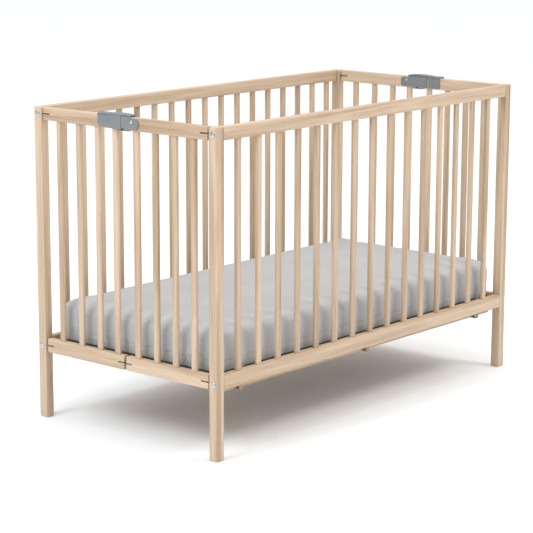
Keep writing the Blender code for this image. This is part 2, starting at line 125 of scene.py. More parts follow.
# Locks
END_X = 0.619
LOCK_PIN_HALF = 0.0126
LOCK_BOLT_Y = 0.0345
LOCK_BOLT_Z = 0.8195
RAIL_FACE = 0.0093
CHEEK = 0.0030
SLIT_Y = 0.0022
SLIT_HALF = 0.0005
EAR_END = 0.0568
EAR_TOP_Z = 0.8278
EAR_FOOT_Z = 0.8005
LEVER_TOP_START = 0.0300
LEVER_INNER_TIP = 0.0380
LEVER_TIP = 0.0500
LID_Z = (0.8327, 0.8351)
LID_EDGE = 0.0014
LEVER_CROWN = 0.0022
CATCH_CROWN = 0.0006
RAIL_GAP_Z = 0.8304
CATCH_GAP_Z = 0.8303
CATCH_INNER_START = 0.0430
CATCH_END = 0.0837
CATCH_FOOT_Z = 0.8006
TAB_END = 0.0340
TAB_FOOT_Z = 0.7973

# Base
BASE_MIDDLE_Z = 0.173
BASE_SLAT_COUNT = 12
BASE_SLAT_WIDE = 0.050
BASE_SLAT_THICK = 0.008
BASE_ROUND = 0.0018
TIE_RAIL_Y = (0.205, 0.235)
BRACKET_X = (-0.518, 0.0, 0.518)
BRACKET_NOTCH = (0.018, 0.0218, 0.04)
SCREW_Y = 0.2956
SCREW_Z = 0.198
SCREW_STEP = 0.0036
LIP_HALF = 0.0068
LIP_Y = (-0.2990, -0.2952)
LIP_RISE = (0.0008, 0.0040)

# Mattress
MATTRESS_ROUND = 0.030
HEM_Z = 0.206
HEM_DEEP = 0.013
HEM_INSET = 0.016
# Top of the painted shadow on the mattress cloth: near-black below this height
PAINTED_SHADOW_TOP_Z = 0.2155
SEAM_Z = 0.243
CLOTH_CAP = 0.006
CLOTH_PRESSURE = 4.0
CLOTH_STEPS = 20
CLOTH_SHRINK = 0.004
VOXEL = 0.0065
THREAD = 0.0011
STITCH = 0.0042
SEAM_LINE = 0.0006


# ---------------------------------------------------------------- camera, floor, light

def add_camera():
    data = bpy.data.cameras.new("camera")
    data.sensor_width = 36.0
    data.lens = CAMERA_LENS
    data.clip_end = CAMERA_FAR
    camera = bpy.data.objects.new("camera", data)
    yaw = Matrix.Rotation(-CAMERA_YAW, 4, "Z")
    pitch = Matrix.Rotation(math.pi / 2 + CAMERA_PITCH, 4, "X")
    roll = Matrix.Rotation(CAMERA_ROLL, 4, "Z")
    camera.matrix_world = Matrix.Translation(CAMERA_PLACE) @ (yaw @ pitch) @ roll
    bpy.context.scene.collection.objects.link(camera)
    bpy.context.scene.camera = camera


def add_stage():
    bm = bmesh.new()
    bmesh.ops.create_grid(bm, x_segments=4, y_segments=4, size=FLOOR_HALF)
    floor = mesh_object("floor", bm, [floor_material()])
    floor.location.z = -FLOOR_DROP
    floor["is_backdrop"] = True


def add_area(name, place, target, size, watts, color):
    data = bpy.data.lights.new(name, "AREA")
    data.shape = "DISK"
    data.size = size
    data.energy = watts
    data.color = color
    light = bpy.data.objects.new(name, data)
    light.location = place
    aim = Vector(target) - Vector(place)
    light.rotation_euler = aim.to_track_quat("-Z", "Y").to_euler()
    bpy.context.scene.collection.objects.link(light)
    light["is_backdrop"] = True


def add_light():
    """A dome that brightens towards the zenith, and the lamps."""
    world = bpy.data.worlds.new("studio")
    world.use_nodes = True
    nodes = world.node_tree.nodes
    links = world.node_tree.links
    coords = nodes.new("ShaderNodeTexCoord")
    split = nodes.new("ShaderNodeSeparateXYZ")
    links.new(coords.outputs["Generated"], split.inputs["Vector"])
    sky = to_range(nodes, links, split.outputs["Z"], SKY_LOW, SKY_HIGH)
    back = nodes["Background"]
    back.inputs["Color"].default_value = WHITE
    links.new(sky, back.inputs["Strength"])
    bpy.context.scene.world = world
    for name, lamp in LAMPS.items():
        add_area(name, *lamp)
    bpy.context.scene.view_settings.view_transform = "Standard"


# ---------------------------------------------------------------- materials

def new_material(name):
    made = bpy.data.materials.new(name)
    made.use_nodes = True
    nodes = made.node_tree.nodes
    return made, nodes, made.node_tree.links, nodes["Principled BSDF"]


def mapped(nodes, links, scale, spread=0.0):
    """Object coordinates stretched by scale, shifted differently on each separate piece."""
    coords = nodes.new("ShaderNodeTexCoord")
    place = nodes.new("ShaderNodeMapping")
    place.inputs["Scale"].default_value = scale
    links.new(coords.outputs["Object"], place.inputs["Vector"])
    if not spread:
        return place.outputs["Vector"]
    geometry = nodes.new("ShaderNodeNewGeometry")
    shift = nodes.new("ShaderNodeVectorMath")
    shift.operation = "SCALE"
    shift.inputs[0].default_value = (spread, spread * 0.7, spread * 1.3)
    links.new(geometry.outputs["Random Per Island"], shift.inputs["Scale"])
    add = nodes.new("ShaderNodeVectorMath")
    links.new(place.outputs["Vector"], add.inputs[0])
    links.new(shift.outputs["Vector"], add.inputs[1])
    return add.outputs["Vector"]


def noise_of(nodes, links, vector, detail=4.0, rough=0.55, distort=0.0, scale=1.0):
    made = nodes.new("ShaderNodeTexNoise")
    made.inputs["Scale"].default_value = scale
    made.inputs["Detail"].default_value = detail
    made.inputs["Roughness"].default_value = rough
    made.inputs["Distortion"].default_value = distort
    links.new(vector, made.inputs["Vector"])
    return made.outputs["Fac"]


def ramp_of(nodes, links, value, stops):
    made = nodes.new("ShaderNodeValToRGB")
    while len(made.color_ramp.elements) < len(stops):
        made.color_ramp.elements.new(0.5)
    for element, (at, color) in zip(made.color_ramp.elements, stops):
        element.position = at
        element.color = (*color, 1.0)
    links.new(value, made.inputs["Fac"])
    return made.outputs["Color"]


def feed(links, value, socket):
    """Drive an input from another node's output, or set it to a plain value."""
    if isinstance(value, bpy.types.NodeSocket):
        links.new(value, socket)
    else:
        socket.default_value = value


def mix_color(nodes, links, kind, share, a, b):
    made = nodes.new("ShaderNodeMix")
    made.data_type = "RGBA"
    made.blend_type = kind
    feed(links, share, made.inputs["Factor"])
    feed(links, a, made.inputs["A"])
    feed(links, b, made.inputs["B"])
    return made.outputs["Result"]


def math_of(nodes, links, kind, a, b=0.0):
    made = nodes.new("ShaderNodeMath")
    made.operation = kind
    feed(links, a, made.inputs[0])
    feed(links, b, made.inputs[1])
    return made.outputs[0]


def wave_of(nodes, links, value, pitch):
    """A sine wave of a coordinate, with the given wavelength."""
    turn = math_of(nodes, links, "MULTIPLY", value, 2 * math.pi / pitch)
    return math_of(nodes, links, "SINE", turn)


def set_bump(nodes, links, shader, height, strength, distance):
    made = nodes.new("ShaderNodeBump")
    made.inputs["Strength"].default_value = strength
    made.inputs["Distance"].default_value = distance
    links.new(height, made.inputs["Height"])
    links.new(made.outputs["Normal"], shader.inputs["Normal"])


def to_range(nodes, links, value, low, high):
    made = nodes.new("ShaderNodeMapRange")
    made.inputs["To Min"].default_value = low
    made.inputs["To Max"].default_value = high
    links.new(value, made.inputs["Value"])
    return made.outputs["Result"]


def beech(name, axis):
    """Pale satin beech whose grain runs along one axis."""
    made, nodes, links, shader = new_material(name)

    def stretch(along, across):
        scale = [across, across, across]
        scale["xyz".index(axis)] = along
        return mapped(nodes, links, scale, 37.0)

    figure = noise_of(nodes, links, stretch(1.6, 46.0), 5.0, 0.55, 0.6)
    fibre = noise_of(nodes, links, stretch(9.0, 520.0), 3.0, 0.6)
    fleck = noise_of(nodes, links, stretch(150.0, 1400.0), 1.0, 0.5)
    base = ramp_of(nodes, links, figure, (
        (0.30, (0.420, 0.290, 0.185)),
        (0.45, (0.565, 0.420, 0.292)),
        (0.60, (0.680, 0.530, 0.392)),
        (0.76, (0.550, 0.400, 0.272)),
    ))
    streak = ramp_of(nodes, links, fibre, (
        (0.30, (0.80, 0.74, 0.67)),
        (0.58, (1.0, 1.0, 1.0)),
    ))
    dots = ramp_of(nodes, links, fleck, (
        (0.26, (0.74, 0.64, 0.52)),
        (0.36, (1.0, 1.0, 1.0)),
    ))
    color = mix_color(nodes, links, "MULTIPLY", 0.8, base, streak)
    color = mix_color(nodes, links, "MULTIPLY", 0.55, color, dots)
    geometry = nodes.new("ShaderNodeNewGeometry")
    tone = nodes.new("ShaderNodeHueSaturation")
    value = to_range(nodes, links, geometry.outputs["Random Per Island"], 0.93, 1.08)
    links.new(value, tone.inputs["Value"])
    links.new(color, tone.inputs["Color"])
    links.new(tone.outputs["Color"], shader.inputs["Base Color"])
    links.new(to_range(nodes, links, fibre, 0.40, 0.58), shader.inputs["Roughness"])
    shader.inputs["Specular IOR Level"].default_value = 0.42
    shader.inputs["Coat Weight"].default_value = 0.08
    shader.inputs["Coat Roughness"].default_value = 0.35
    set_bump(nodes, links, shader, fibre, 0.16, 0.0004)
    return made


def lock_plastic():
    made, nodes, links, shader = new_material("lock_plastic")
    grain = noise_of(nodes, links, mapped(nodes, links, (900.0, 900.0, 900.0)), 2.0, 0.5)
    cloud = noise_of(nodes, links, mapped(nodes, links, (28.0, 28.0, 28.0)), 3.0, 0.5)
    color = ramp_of(nodes, links, cloud, (
        (0.25, (0.185, 0.202, 0.210)),
        (0.75, (0.225, 0.243, 0.252)),
    ))
    links.new(color, shader.inputs["Base Color"])
    links.new(to_range(nodes, links, grain, 0.36, 0.52), shader.inputs["Roughness"])
    set_bump(nodes, links, shader, grain, 0.22, 0.00025)
    return made


def zinc(name, color, low, high):
    made, nodes, links, shader = new_material(name)
    cloud = noise_of(nodes, links, mapped(nodes, links, (260.0, 260.0, 260.0)), 4.0, 0.6)
    fine = noise_of(nodes, links, mapped(nodes, links, (2400.0, 2400.0, 500.0)), 2.0, 0.5)
    dark = tuple(c * 0.86 for c in color)
    links.new(ramp_of(nodes, links, cloud, ((0.3, dark), (0.7, color))), shader.inputs["Base Color"])
    links.new(to_range(nodes, links, cloud, low, high), shader.inputs["Roughness"])
    shader.inputs["Metallic"].default_value = 1.0
    set_bump(nodes, links, shader, fine, 0.10, 0.0001)
    return made


def lacquer():
    """Beige powder coat of the supports under the front rail."""
    made, nodes, links, shader = new_material("support_lacquer")
    grain = noise_of(nodes, links, mapped(nodes, links, (1500.0, 1500.0, 1500.0)), 2.0, 0.5)
    color = ramp_of(nodes, links, grain, ((0.3, (0.36, 0.285, 0.21)), (0.7, (0.41, 0.33, 0.25))))
    links.new(color, shader.inputs["Base Color"])
    shader.inputs["Roughness"].default_value = 0.6
    set_bump(nodes, links, shader, grain, 0.2, 0.0002)
    return made


def weave_of(nodes, links, place):
    """Height of a plain weave: warp threads crossed by weft threads."""
    along_x = wave_of(nodes, links, place["X"], THREAD)
    along_z = wave_of(nodes, links, place["Z"], THREAD)
    warp = math_of(nodes, links, "ADD", along_x, along_z)
    weft = wave_of(nodes, links, place["Y"], THREAD)
    return to_range(nodes, links, math_of(nodes, links, "MULTIPLY", warp, weft), 0.0, 1.0)


def seam_of(nodes, links, place):
    """One on the stitches of the side's seam, nothing elsewhere."""
    drop = math_of(nodes, links, "SUBTRACT", place["Z"], SEAM_Z)
    off_seam = math_of(nodes, links, "ABSOLUTE", drop)
    in_seam = math_of(nodes, links, "LESS_THAN", off_seam, SEAM_LINE)
    run = math_of(nodes, links, "ADD", place["X"], place["Y"])
    stitch = math_of(nodes, links, "GREATER_THAN", wave_of(nodes, links, run, STITCH), -0.45)
    return math_of(nodes, links, "MULTIPLY", in_seam, stitch)


def sheet_cloth():
    """Light grey woven cotton with a stitched seam round the side, over a near-black under side that
    is painted shadow, for the shade in the gap above the rail.
    """
    made, nodes, links, shader = new_material("mattress_cloth")
    coords = nodes.new("ShaderNodeTexCoord")
    split = nodes.new("ShaderNodeSeparateXYZ")
    links.new(coords.outputs["Object"], split.inputs["Vector"])
    place = split.outputs
    weave = weave_of(nodes, links, place)
    slub = noise_of(nodes, links, mapped(nodes, links, (60.0, 420.0, 420.0)), 3.0, 0.6)
    cloud = noise_of(nodes, links, mapped(nodes, links, (9.0, 9.0, 9.0)), 3.0, 0.5)
    base = ramp_of(nodes, links, cloud, (
        (0.3, (0.445, 0.449, 0.456)),
        (0.7, (0.490, 0.494, 0.501)),
    ))
    slubs = ramp_of(nodes, links, slub, ((0.3, (0.92, 0.92, 0.92)), (0.6, (1.0, 1.0, 1.0))))
    color = mix_color(nodes, links, "MULTIPLY", 0.7, base, slubs)
    seam = seam_of(nodes, links, place)
    color = mix_color(nodes, links, "MULTIPLY", seam, color, (0.62, 0.61, 0.60, 1.0))
    # Painted shadow: the cloth below the hem's top is near-black, standing in for the shade in the
    # gap above the rail
    under = math_of(nodes, links, "LESS_THAN", place["Z"], PAINTED_SHADOW_TOP_Z)
    color = mix_color(nodes, links, "MIX", under, color, (0.060, 0.060, 0.062, 1.0))
    links.new(color, shader.inputs["Base Color"])
    shader.inputs["Roughness"].default_value = 0.92
    shader.inputs["Specular IOR Level"].default_value = 0.25
    shader.inputs["Sheen Weight"].default_value = 0.22
    shader.inputs["Sheen Roughness"].default_value = 0.5
    thick = math_of(nodes, links, "MULTIPLY", slub, 0.8)
    set_bump(nodes, links, shader, math_of(nodes, links, "ADD", weave, thick), 0.30, 0.0004)
    return made


def floor_material():
    made, _, _, shader = new_material("studio_floor")
    shader.inputs["Base Color"].default_value = (0.905, 0.925, 0.945, 1.0)
    shader.inputs["Roughness"].default_value = 0.85
    shader.inputs["Specular IOR Level"].default_value = 0.15
    shader.inputs["Emission Color"].default_value = WHITE
    shader.inputs["Emission Strength"].default_value = FLOOR_GLOW
    return made


# ---------------------------------------------------------------- mesh helpers

def mesh_object(name, bm, looks, sharp=SHARP):
    """A new object with the faces in bm, which is used up."""
    mesh = bpy.data.meshes.new(name)
    bmesh.ops.recalc_face_normals(bm, faces=bm.faces)
    bm.to_mesh(mesh)
    bm.free()
    for look in looks:
        mesh.materials.append(look)
    mesh.shade_smooth()
    mesh.set_sharp_from_angle(angle=math.radians(sharp))
    obj = bpy.data.objects.new(name, mesh)
    bpy.context.scene.collection.objects.link(obj)
    return obj


def rounded_box(bm, xs, ys, zs, edge, slot=0, segments=3):
    """A bar with every edge rounded, in its own island, in one material slot."""
    low = Vector(min(s) for s in (xs, ys, zs))
    high = Vector(max(s) for s in (xs, ys, zs))
    bar = bmesh.new()
    move = Matrix.Translation((low + high) / 2) @ Matrix.Diagonal((*(high - low), 1.0))
    bmesh.ops.create_cube(bar, size=1.0, matrix=move)
    bmesh.ops.bevel(
        bar, geom=list(bar.edges), offset=edge, segments=segments, profile=0.5, affect="EDGES"
    )
    for face in bar.faces:
        face.material_index = slot
    append(bm, bar)


def box_bar(bm, low, high, edge, slot=0):
    """A rounded box between two corners."""
    rounded_box(bm, (low.x, high.x), (low.y, high.y), (low.z, high.z), edge, slot)


def append(bm, other):
    """Add the faces of other, which is used up, to bm."""
    mesh = bpy.data.meshes.new("scratch")
    other.to_mesh(mesh)
    other.free()
    bm.from_mesh(mesh)
    bpy.data.meshes.remove(mesh)


def rod(bm, start, end, radius, sides=24):
    start = Vector(start)
    run = Vector(end) - start
    turn = Vector((0, 0, 1)).rotation_difference(run.normalized()).to_matrix().to_4x4()
    bmesh.ops.create_cone(
        bm, cap_ends=True, segments=sides, radius1=radius, radius2=radius, depth=run.length,
        matrix=Matrix.Translation(start + run / 2) @ turn,
    )


def applied(obj, change):
    """Give obj the mesh that its one modifier makes, and drop the modifier."""
    graph = bpy.context.evaluated_depsgraph_get()
    mesh = bpy.data.meshes.new_from_object(obj.evaluated_get(graph))
    obj.modifiers.remove(change)
    obj.data = mesh
    return mesh


def cut_away(obj, bm):
    """Take the solids in bm out of obj for good."""
    tool = mesh_object(obj.name + "_tool", bm, [])
    change = obj.modifiers.new("cut", "BOOLEAN")
    change.operation = "DIFFERENCE"
    change.solver = "EXACT"
    change.object = tool
    bpy.context.view_layer.update()
    applied(obj, change).set_sharp_from_angle(angle=math.radians(SHARP))
    bpy.data.objects.remove(tool, do_unlink=True)


def turned(bm, centre, outline, direction, sides=32):
    """Turn (radius, distance) points about the line from centre along direction."""
    turn = Vector((0, 0, 1)).rotation_difference(Vector(direction)).to_matrix().to_4x4()
    place = Matrix.Translation(centre) @ turn
    rings = []
    for radius, level in outline:
        if radius == 0.0:
            rings.append([bm.verts.new(place @ Vector((0, 0, level)))])
            continue
        ring = []
        for i in range(sides):
            angle = 2 * math.pi * i / sides
            ring.append(bm.verts.new(
                place @ Vector((radius * math.cos(angle), radius * math.sin(angle), level))
            ))
        rings.append(ring)
    for a, b in zip(rings, rings[1:]):
        for i in range(sides):
            j = (i + 1) % sides
            if len(a) == 1:
                bm.faces.new((a[0], b[i], b[j]))
            elif len(b) == 1:
                bm.faces.new((a[i], a[j], b[0]))
            else:
                bm.faces.new((a[i], a[j], b[j], b[i]))


def plate(bm, outline, low, high, edge=0.0008, axis="x"):
    """A flat moulding: an outline extruded along an axis, with its rim softened."""
    slab = bmesh.new()
    rows = []
    for level in (low, high):
        row = []
        for u, v in outline:
            point = [u, v]
            point.insert("xyz".index(axis), level)
            row.append(slab.verts.new(point))
        rows.append(row)
    slab.faces.new(rows[0])
    slab.faces.new(list(reversed(rows[1])))
    count = len(outline)
    for i in range(count):
        j = (i + 1) % count
        slab.faces.new((rows[0][i], rows[1][i], rows[1][j], rows[0][j]))
    bmesh.ops.recalc_face_normals(slab, faces=slab.faces)
    rims = []
    for item in slab.edges:
        a, b = (v.co["xyz".index(axis)] for v in item.verts)
        if abs(a - b) < 1e-7:
            rims.append(item)
    bmesh.ops.bevel(slab, geom=rims, offset=edge, segments=2, profile=0.5, affect="EDGES")
    append(bm, slab)


def finish(obj, body, slot, *nodes):
    """Put obj on its body, in place of any CAD nodes it stands for; slot, its record material, is
    not used.
    """
    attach(obj, body)
    if nodes:
        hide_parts(*nodes)
    return obj


# ---------------------------------------------------------------- timber

def plain_bar(node, body, edge, slot, looks):
    """A straight bar as big as its CAD node, grained along the axis of its material slot."""
    bm = bmesh.new()
    box_bar(bm, *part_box(node), edge, slot)
    finish(mesh_object(node + "_timber", bm, looks), body, "beech", node)


def long_slat_xs(sy):
    count, pitch, middle = LONG_SLATS[sy]
    first = middle - pitch * (count - 1) / 2
    return [first + pitch * i for i in range(count)]


def slat(bm, x, y, wide_x, wide_y):
    zs = (LOW_RAIL_Z[1] - SLAT_BURY, TOP_RAIL_Z[0] + SLAT_BURY)
    xs = (x - wide_x / 2, x + wide_x / 2)
    rounded_box(bm, xs, (y - wide_y / 2, y + wide_y / 2), zs, SLAT_ROUND, 2, 4)


def side_timber(prefix, body, sy, looks):
    """One long side: two legs, the top rail, and the lower rail with its slats."""
    for side_name, _ in SIDES:
        plain_bar(f"{prefix}_{side_name}_leg", body, RAIL_ROUND, 2, looks)
    plain_bar(f"{prefix}_top_rail", body, RAIL_ROUND, 0, looks)
    lower = f"{prefix}_lower_slatted_rail"
    low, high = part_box(lower)
    bm = bmesh.new()
    rounded_box(bm, (low.x, high.x), (low.y, high.y), LOW_RAIL_Z, RAIL_ROUND, 0)
    for x in long_slat_xs(sy):
        slat(bm, x, (low.y + high.y) / 2, SLAT_WIDE, SLAT_DEEP)
    finish(mesh_object(lower + "_timber", bm, looks), body, "beech", lower)


def hinge_cuts(low, high, sy, zs, spans):
    """Slots for the hinge plates over the given spans of y, and bores for both pins."""
    cx = (low.x + high.x) / 2
    middle = sum(zs) / 2
    bm = bmesh.new()
    for a, b in spans:
        move = Matrix.Translation((cx, sy * (a + b) / 2, middle))
        size = Matrix.Diagonal((high.x - low.x + 2 * CUT_PAST, b - a, KERF, 1.0))
        bmesh.ops.create_cube(bm, size=1.0, matrix=move @ size)
    for y in (PIVOT_OUT, PIVOT_MID):
        rod(bm, (cx, sy * y, zs[0] - CUT_PAST), (cx, sy * y, zs[1] - PIN_STOP), PIN_BORE)
    return bm


def end_rail(node, sy, zs, spans, looks):
    """One rail of a folding half, slotted and bored for its hinges."""
    low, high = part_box(node)
    bm = bmesh.new()
    rounded_box(bm, (low.x, high.x), (low.y, high.y), zs, RAIL_ROUND, 1)
    obj = mesh_object(node + "_timber", bm, looks)
    cut_away(obj, hinge_cuts(low, high, sy, zs, spans))
    return obj


def end_timber(side_name, half_name, sy, looks):
    """Half of a folding end: its top rail, and its lower rail with four slats."""
    body = f"{side_name}_{half_name}_half"
    outer = (PIVOT_OUT - KERF_OUT, PIVOT_OUT + KERF_PAST)
    inner = (0.0, PIVOT_MID + KERF_MID)
    top = f"{body}_top_rail"
    finish(end_rail(top, sy, TOP_RAIL_Z, [outer], looks), body, "beech", top)

    lower = f"{body}_lower_slatted_rail"
    low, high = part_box(lower)
    obj = end_rail(lower, sy, LOW_RAIL_Z, [outer, inner], looks)
    bm = bmesh.new()
    bm.from_mesh(obj.data)
    for y in END_SLATS[sy]:
        slat(bm, (low.x + high.x) / 2, sy * y, SLAT_DEEP, SLAT_WIDE)
    bm.to_mesh(obj.data)
    bm.free()
    obj.data.shade_smooth()
    obj.data.set_sharp_from_angle(angle=math.radians(SHARP))
    finish(obj, body, "beech", lower)


def base_back_rail(looks):
    """The base's hinge rail, notched for the brackets that carry it."""
    low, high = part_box("base_back_rail")
    bm = bmesh.new()
    box_bar(bm, low, high, BASE_ROUND)
    obj = mesh_object("base_back_rail_timber", bm, looks)
    bm = bmesh.new()
    notch = Matrix.Diagonal((*BRACKET_NOTCH, 1.0))
    for x in BRACKET_X:
        move = Matrix.Translation((x, high.y, BASE_MIDDLE_Z))
        bmesh.ops.create_cube(bm, size=1.0, matrix=move @ notch)
    cut_away(obj, bm)
    finish(obj, "base", "beech", "base_back_rail")


def base_slats(looks):
    """The tie rail along x, and the cross slats that run through it."""
    low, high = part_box("base_slats")
    bm = bmesh.new()
    rounded_box(bm, (low.x, high.x), TIE_RAIL_Y, (low.z, high.z), BASE_ROUND, 0)
    reach = high.x - BASE_SLAT_WIDE / 2
    thick = BASE_SLAT_THICK / 2
    for i in range(BASE_SLAT_COUNT):
        x = -reach + 2 * reach * i / (BASE_SLAT_COUNT - 1)
        xs = (x - BASE_SLAT_WIDE / 2, x + BASE_SLAT_WIDE / 2)
        zs = (BASE_MIDDLE_Z - thick, BASE_MIDDLE_Z + thick)
        rounded_box(bm, xs, (low.y, high.y), zs, BASE_ROUND, 1)
    finish(mesh_object("base_slats_timber", bm, looks), "base", "beech", "base_slats")


def base_timber(looks):
    base_back_rail(looks)
    base_slats(looks)
    plain_bar("base_ledge", "front_side", BASE_ROUND, 0, looks)


# ---------------------------------------------------------------- fittings

def socket_bolt(node, body, sx, look):
    """A flat zinc-plated bolt head with a hexagon socket, on the end face of a leg."""
    low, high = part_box(node)
    y = (low.y + high.y) / 2
    z = (low.z + high.z) / 2
    seat = sx * BOLT_SEAT_X
    outline = (
        (0.0, -0.058), (0.003, -0.058), (0.003, 0.0), (0.0075, 0.0), (0.0077, 0.0004),
        (0.0076, 0.0011), (0.0070, 0.0018), (0.0062, 0.0021), (0.0035, 0.0022), (0.0, 0.0022),
    )
    bm = bmesh.new()
    turned(bm, (seat, y, z), outline, (sx, 0, 0))
    obj = mesh_object(node + "_zinc", bm, [look])
    bm = bmesh.new()
    rod(bm, (seat + sx * 0.0006, y, z), (seat + sx * 0.01, y, z), BOLT_HEX_R, 6)
    cut_away(obj, bm)
    finish(obj, body, "zinc", node)


def lock_screw(side_name, sx, body, look):
    """The domed cross bolt that a lock lever turns on."""
    node = f"{side_name}_lock_bolt"
    low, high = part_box(node)
    centre = (low + high) / 2
    half = LOCK_PIN_HALF
    dome = [(0.0, half + 0.0026)]
    for i in range(1, 6):
        angle = math.pi / 2 * i / 5
        dome.append((0.0049 * math.sin(angle), half + 0.0006 + 0.0020 * math.cos(angle)))
    outline = [(0.0, -half - 0.0016), (0.0038, -half - 0.0016), (0.0046, -half), (0.0021, -half)]
    outline += [(0.0021, half), (0.0049, half)] + list(reversed(dome))
    bm = bmesh.new()
    turned(bm, centre, outline, (sx, 0, 0))
    finish(mesh_object(node + "_zinc", bm, [look]), body, "zinc", node)


def bracket_screws(body, name, sy, look):
    """Domed screw heads on the inner face of a lower rail, two for each bracket."""
    outline = ((0.0, 0.0), (0.0030, 0.0), (0.0028, 0.0006), (0.0018, 0.0012), (0.0, 0.0014))
    bm = bmesh.new()
    for x in BRACKET_X:
        for dx in (-SCREW_STEP, SCREW_STEP):
            turned(bm, (x + dx, sy * SCREW_Y, SCREW_Z), outline, (0, -sy, 0), 20)
    finish(mesh_object(name, bm, [look]), body, "zinc")


def support_tops(look):
    """The zinc lips of the supports, just above the front rail's inner edge."""
    zs = [LOW_RAIL_Z[1] + rise for rise in LIP_RISE]
    bm = bmesh.new()
    for x in BRACKET_X:
        rounded_box(bm, (x - LIP_HALF, x + LIP_HALF), LIP_Y, zs, 0.0005, 0, 2)
    finish(mesh_object("support_tops", bm, [look]), "front_side", "zinc")


def arc(cy, cz, radius, start, end, steps=6):
    """Points round part of a circle, between two angles in degrees."""
    points = []
    for i in range(steps + 1):
        angle = math.radians(start + (end - start) * i / steps)
        points.append((cy + radius * math.cos(angle), cz + radius * math.sin(angle)))
    return points


def flipped(points, sign):
    return [(sign * u, v) for u, v in points]


def lid(bm, sx, y0, y1, zs, crown, edge):
    """The top of a lock: a bar across both cheeks that rises in the middle of its length."""
    cx = sx * END_X
    half = RAIL_FACE + CHEEK
    slab = bmesh.new()
    steps = 16
    rows = []
    for i in range(steps + 1):
        share = i / steps
        y = y0 + (y1 - y0) * share
        rise = crown * math.sin(math.pi * share) ** 0.8
        row = []
        for x, z in (
            (-half, zs[0]), (-half, zs[1] - edge + rise * 0.7), (-half + edge, zs[1] + rise),
            (half - edge, zs[1] + rise), (half, zs[1] - edge + rise * 0.7), (half, zs[0]),
        ):
            row.append(slab.verts.new((cx + x, y, z)))
        rows.append(row)
    for a, b in zip(rows, rows[1:]):
        for i in range(6):
            j = (i + 1) % 6
            slab.faces.new((a[i], a[j], b[j], b[i]))
    slab.faces.new(rows[0])
    slab.faces.new(list(reversed(rows[-1])))
    bmesh.ops.recalc_face_normals(slab, faces=slab.faces)
    append(bm, slab)


def lock_lever(side_name, sx, look):
    """A lever's two cheeks over the rail, with its lid, the rib inside and the ring at its bolt."""
    node = f"{side_name}_lock_lever"
    cx = sx * END_X
    sy = sx
    out = cx + sx * RAIL_FACE
    inn = cx - sx * RAIL_FACE
    top = LID_Z[1] - 0.0002

    def cheek(reach):
        points = [(reach, top), (LEVER_TOP_START - 0.004, top)]
        points += arc(LEVER_TOP_START - 0.004, top - 0.0040, 0.0040, 80, 10, 4)
        points += [(LEVER_TOP_START + 0.0008, EAR_TOP_Z)]
        points += arc(EAR_END - 0.0095, EAR_TOP_Z - 0.0095, 0.0095, 90, 0, 7)
        points += arc(EAR_END - 0.0080, EAR_FOOT_Z + 0.0080, 0.0080, 0, -90, 6)
        points += [(reach, EAR_FOOT_Z)]
        return flipped(points, sy)

    bm = bmesh.new()
    plate(bm, cheek(-SLIT_Y + SLIT_HALF), out, out + sx * CHEEK)
    plate(bm, cheek(-LEVER_INNER_TIP), inn, inn - sx * CHEEK)
    lid(bm, sx, sy * (LEVER_TOP_START - 0.003), -sy * LEVER_TIP, LID_Z, LEVER_CROWN, LID_EDGE)
    rib_xs = (out + sx * 0.001, inn - sx * 0.001)
    rib_ys = (sy * 0.0075, sy * (LEVER_TOP_START - 0.006))
    rounded_box(bm, rib_xs, rib_ys, (RAIL_GAP_Z, LID_Z[0] + 0.0005), 0.0004, 0, 1)
    boss = (out + sx * (CHEEK - 0.0004), sy * LOCK_BOLT_Y, LOCK_BOLT_Z)
    ring = ((0.0052, 0.0), (0.0056, 0.0007), (0.0066, 0.0007), (0.0070, 0.0))
    turned(bm, boss, ring, (sx, 0, 0))
    obj = mesh_object(node + "_moulding", bm, [look])
    finish(obj, f"{side_name}_lock", "lock_plastic", node)


def lock_catch(side_name, sx, body, look):
    """A catch's cheeks and lid, which the lever's lid closes over."""
    node = f"{side_name}_lock_catch"
    cx = sx * END_X
    sy = -sx
    out = cx + sx * RAIL_FACE
    inn = cx - sx * RAIL_FACE
    top = LID_Z[0] - 0.0004
    start = SLIT_Y + SLIT_HALF

    points = [(start, top), (start, TAB_FOOT_Z), (TAB_END, TAB_FOOT_Z), (TAB_END, CATCH_FOOT_Z)]
    points += arc(CATCH_END - 0.006, CATCH_FOOT_Z + 0.006, 0.006, -90, 0, 6)
    points += arc(CATCH_END - 0.0015, top - 0.0015, 0.0015, 0, 90, 3)
    bm = bmesh.new()
    plate(bm, flipped(points, sy), out, out + sx * CHEEK)
    inner = [(CATCH_INNER_START, top), (CATCH_INNER_START, CATCH_FOOT_Z)]
    inner += arc(CATCH_END - 0.006, CATCH_FOOT_Z + 0.006, 0.006, -90, 0, 6)
    inner += arc(CATCH_END - 0.0015, top - 0.0015, 0.0015, 0, 90, 3)
    plate(bm, flipped(inner, sy), inn, inn - sx * CHEEK)
    ys = (sy * 0.0075, sy * (CATCH_END - 0.0006))
    rounded_box(bm, (out + sx * 0.001, inn + sx * 0.0003), ys, (CATCH_GAP_Z, top), 0.0006, 0, 2)
    zs = (CATCH_GAP_Z, LID_Z[1] - 0.0006)
    lid(bm, sx, sy * (LEVER_TIP + 0.0006), sy * CATCH_END, zs, CATCH_CROWN, LID_EDGE)
    obj = mesh_object(node + "_moulding", bm, [look])
    finish(obj, body, "lock_plastic", node)


def shade_plates(looks):
    """The flat hinge plates, links, supports and barrel nuts keep their CAD shape."""
    for node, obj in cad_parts.items():
        if node.endswith("_nut"):
            look = looks["zinc"]
        elif "support" in node:
            look = looks["lacquer"]
        elif "hinge" in node or "link" in node:
            look = looks["steel"]
        else:
            continue
        obj.data.materials.clear()
        obj.data.materials.append(look)


# ---------------------------------------------------------------- mattress

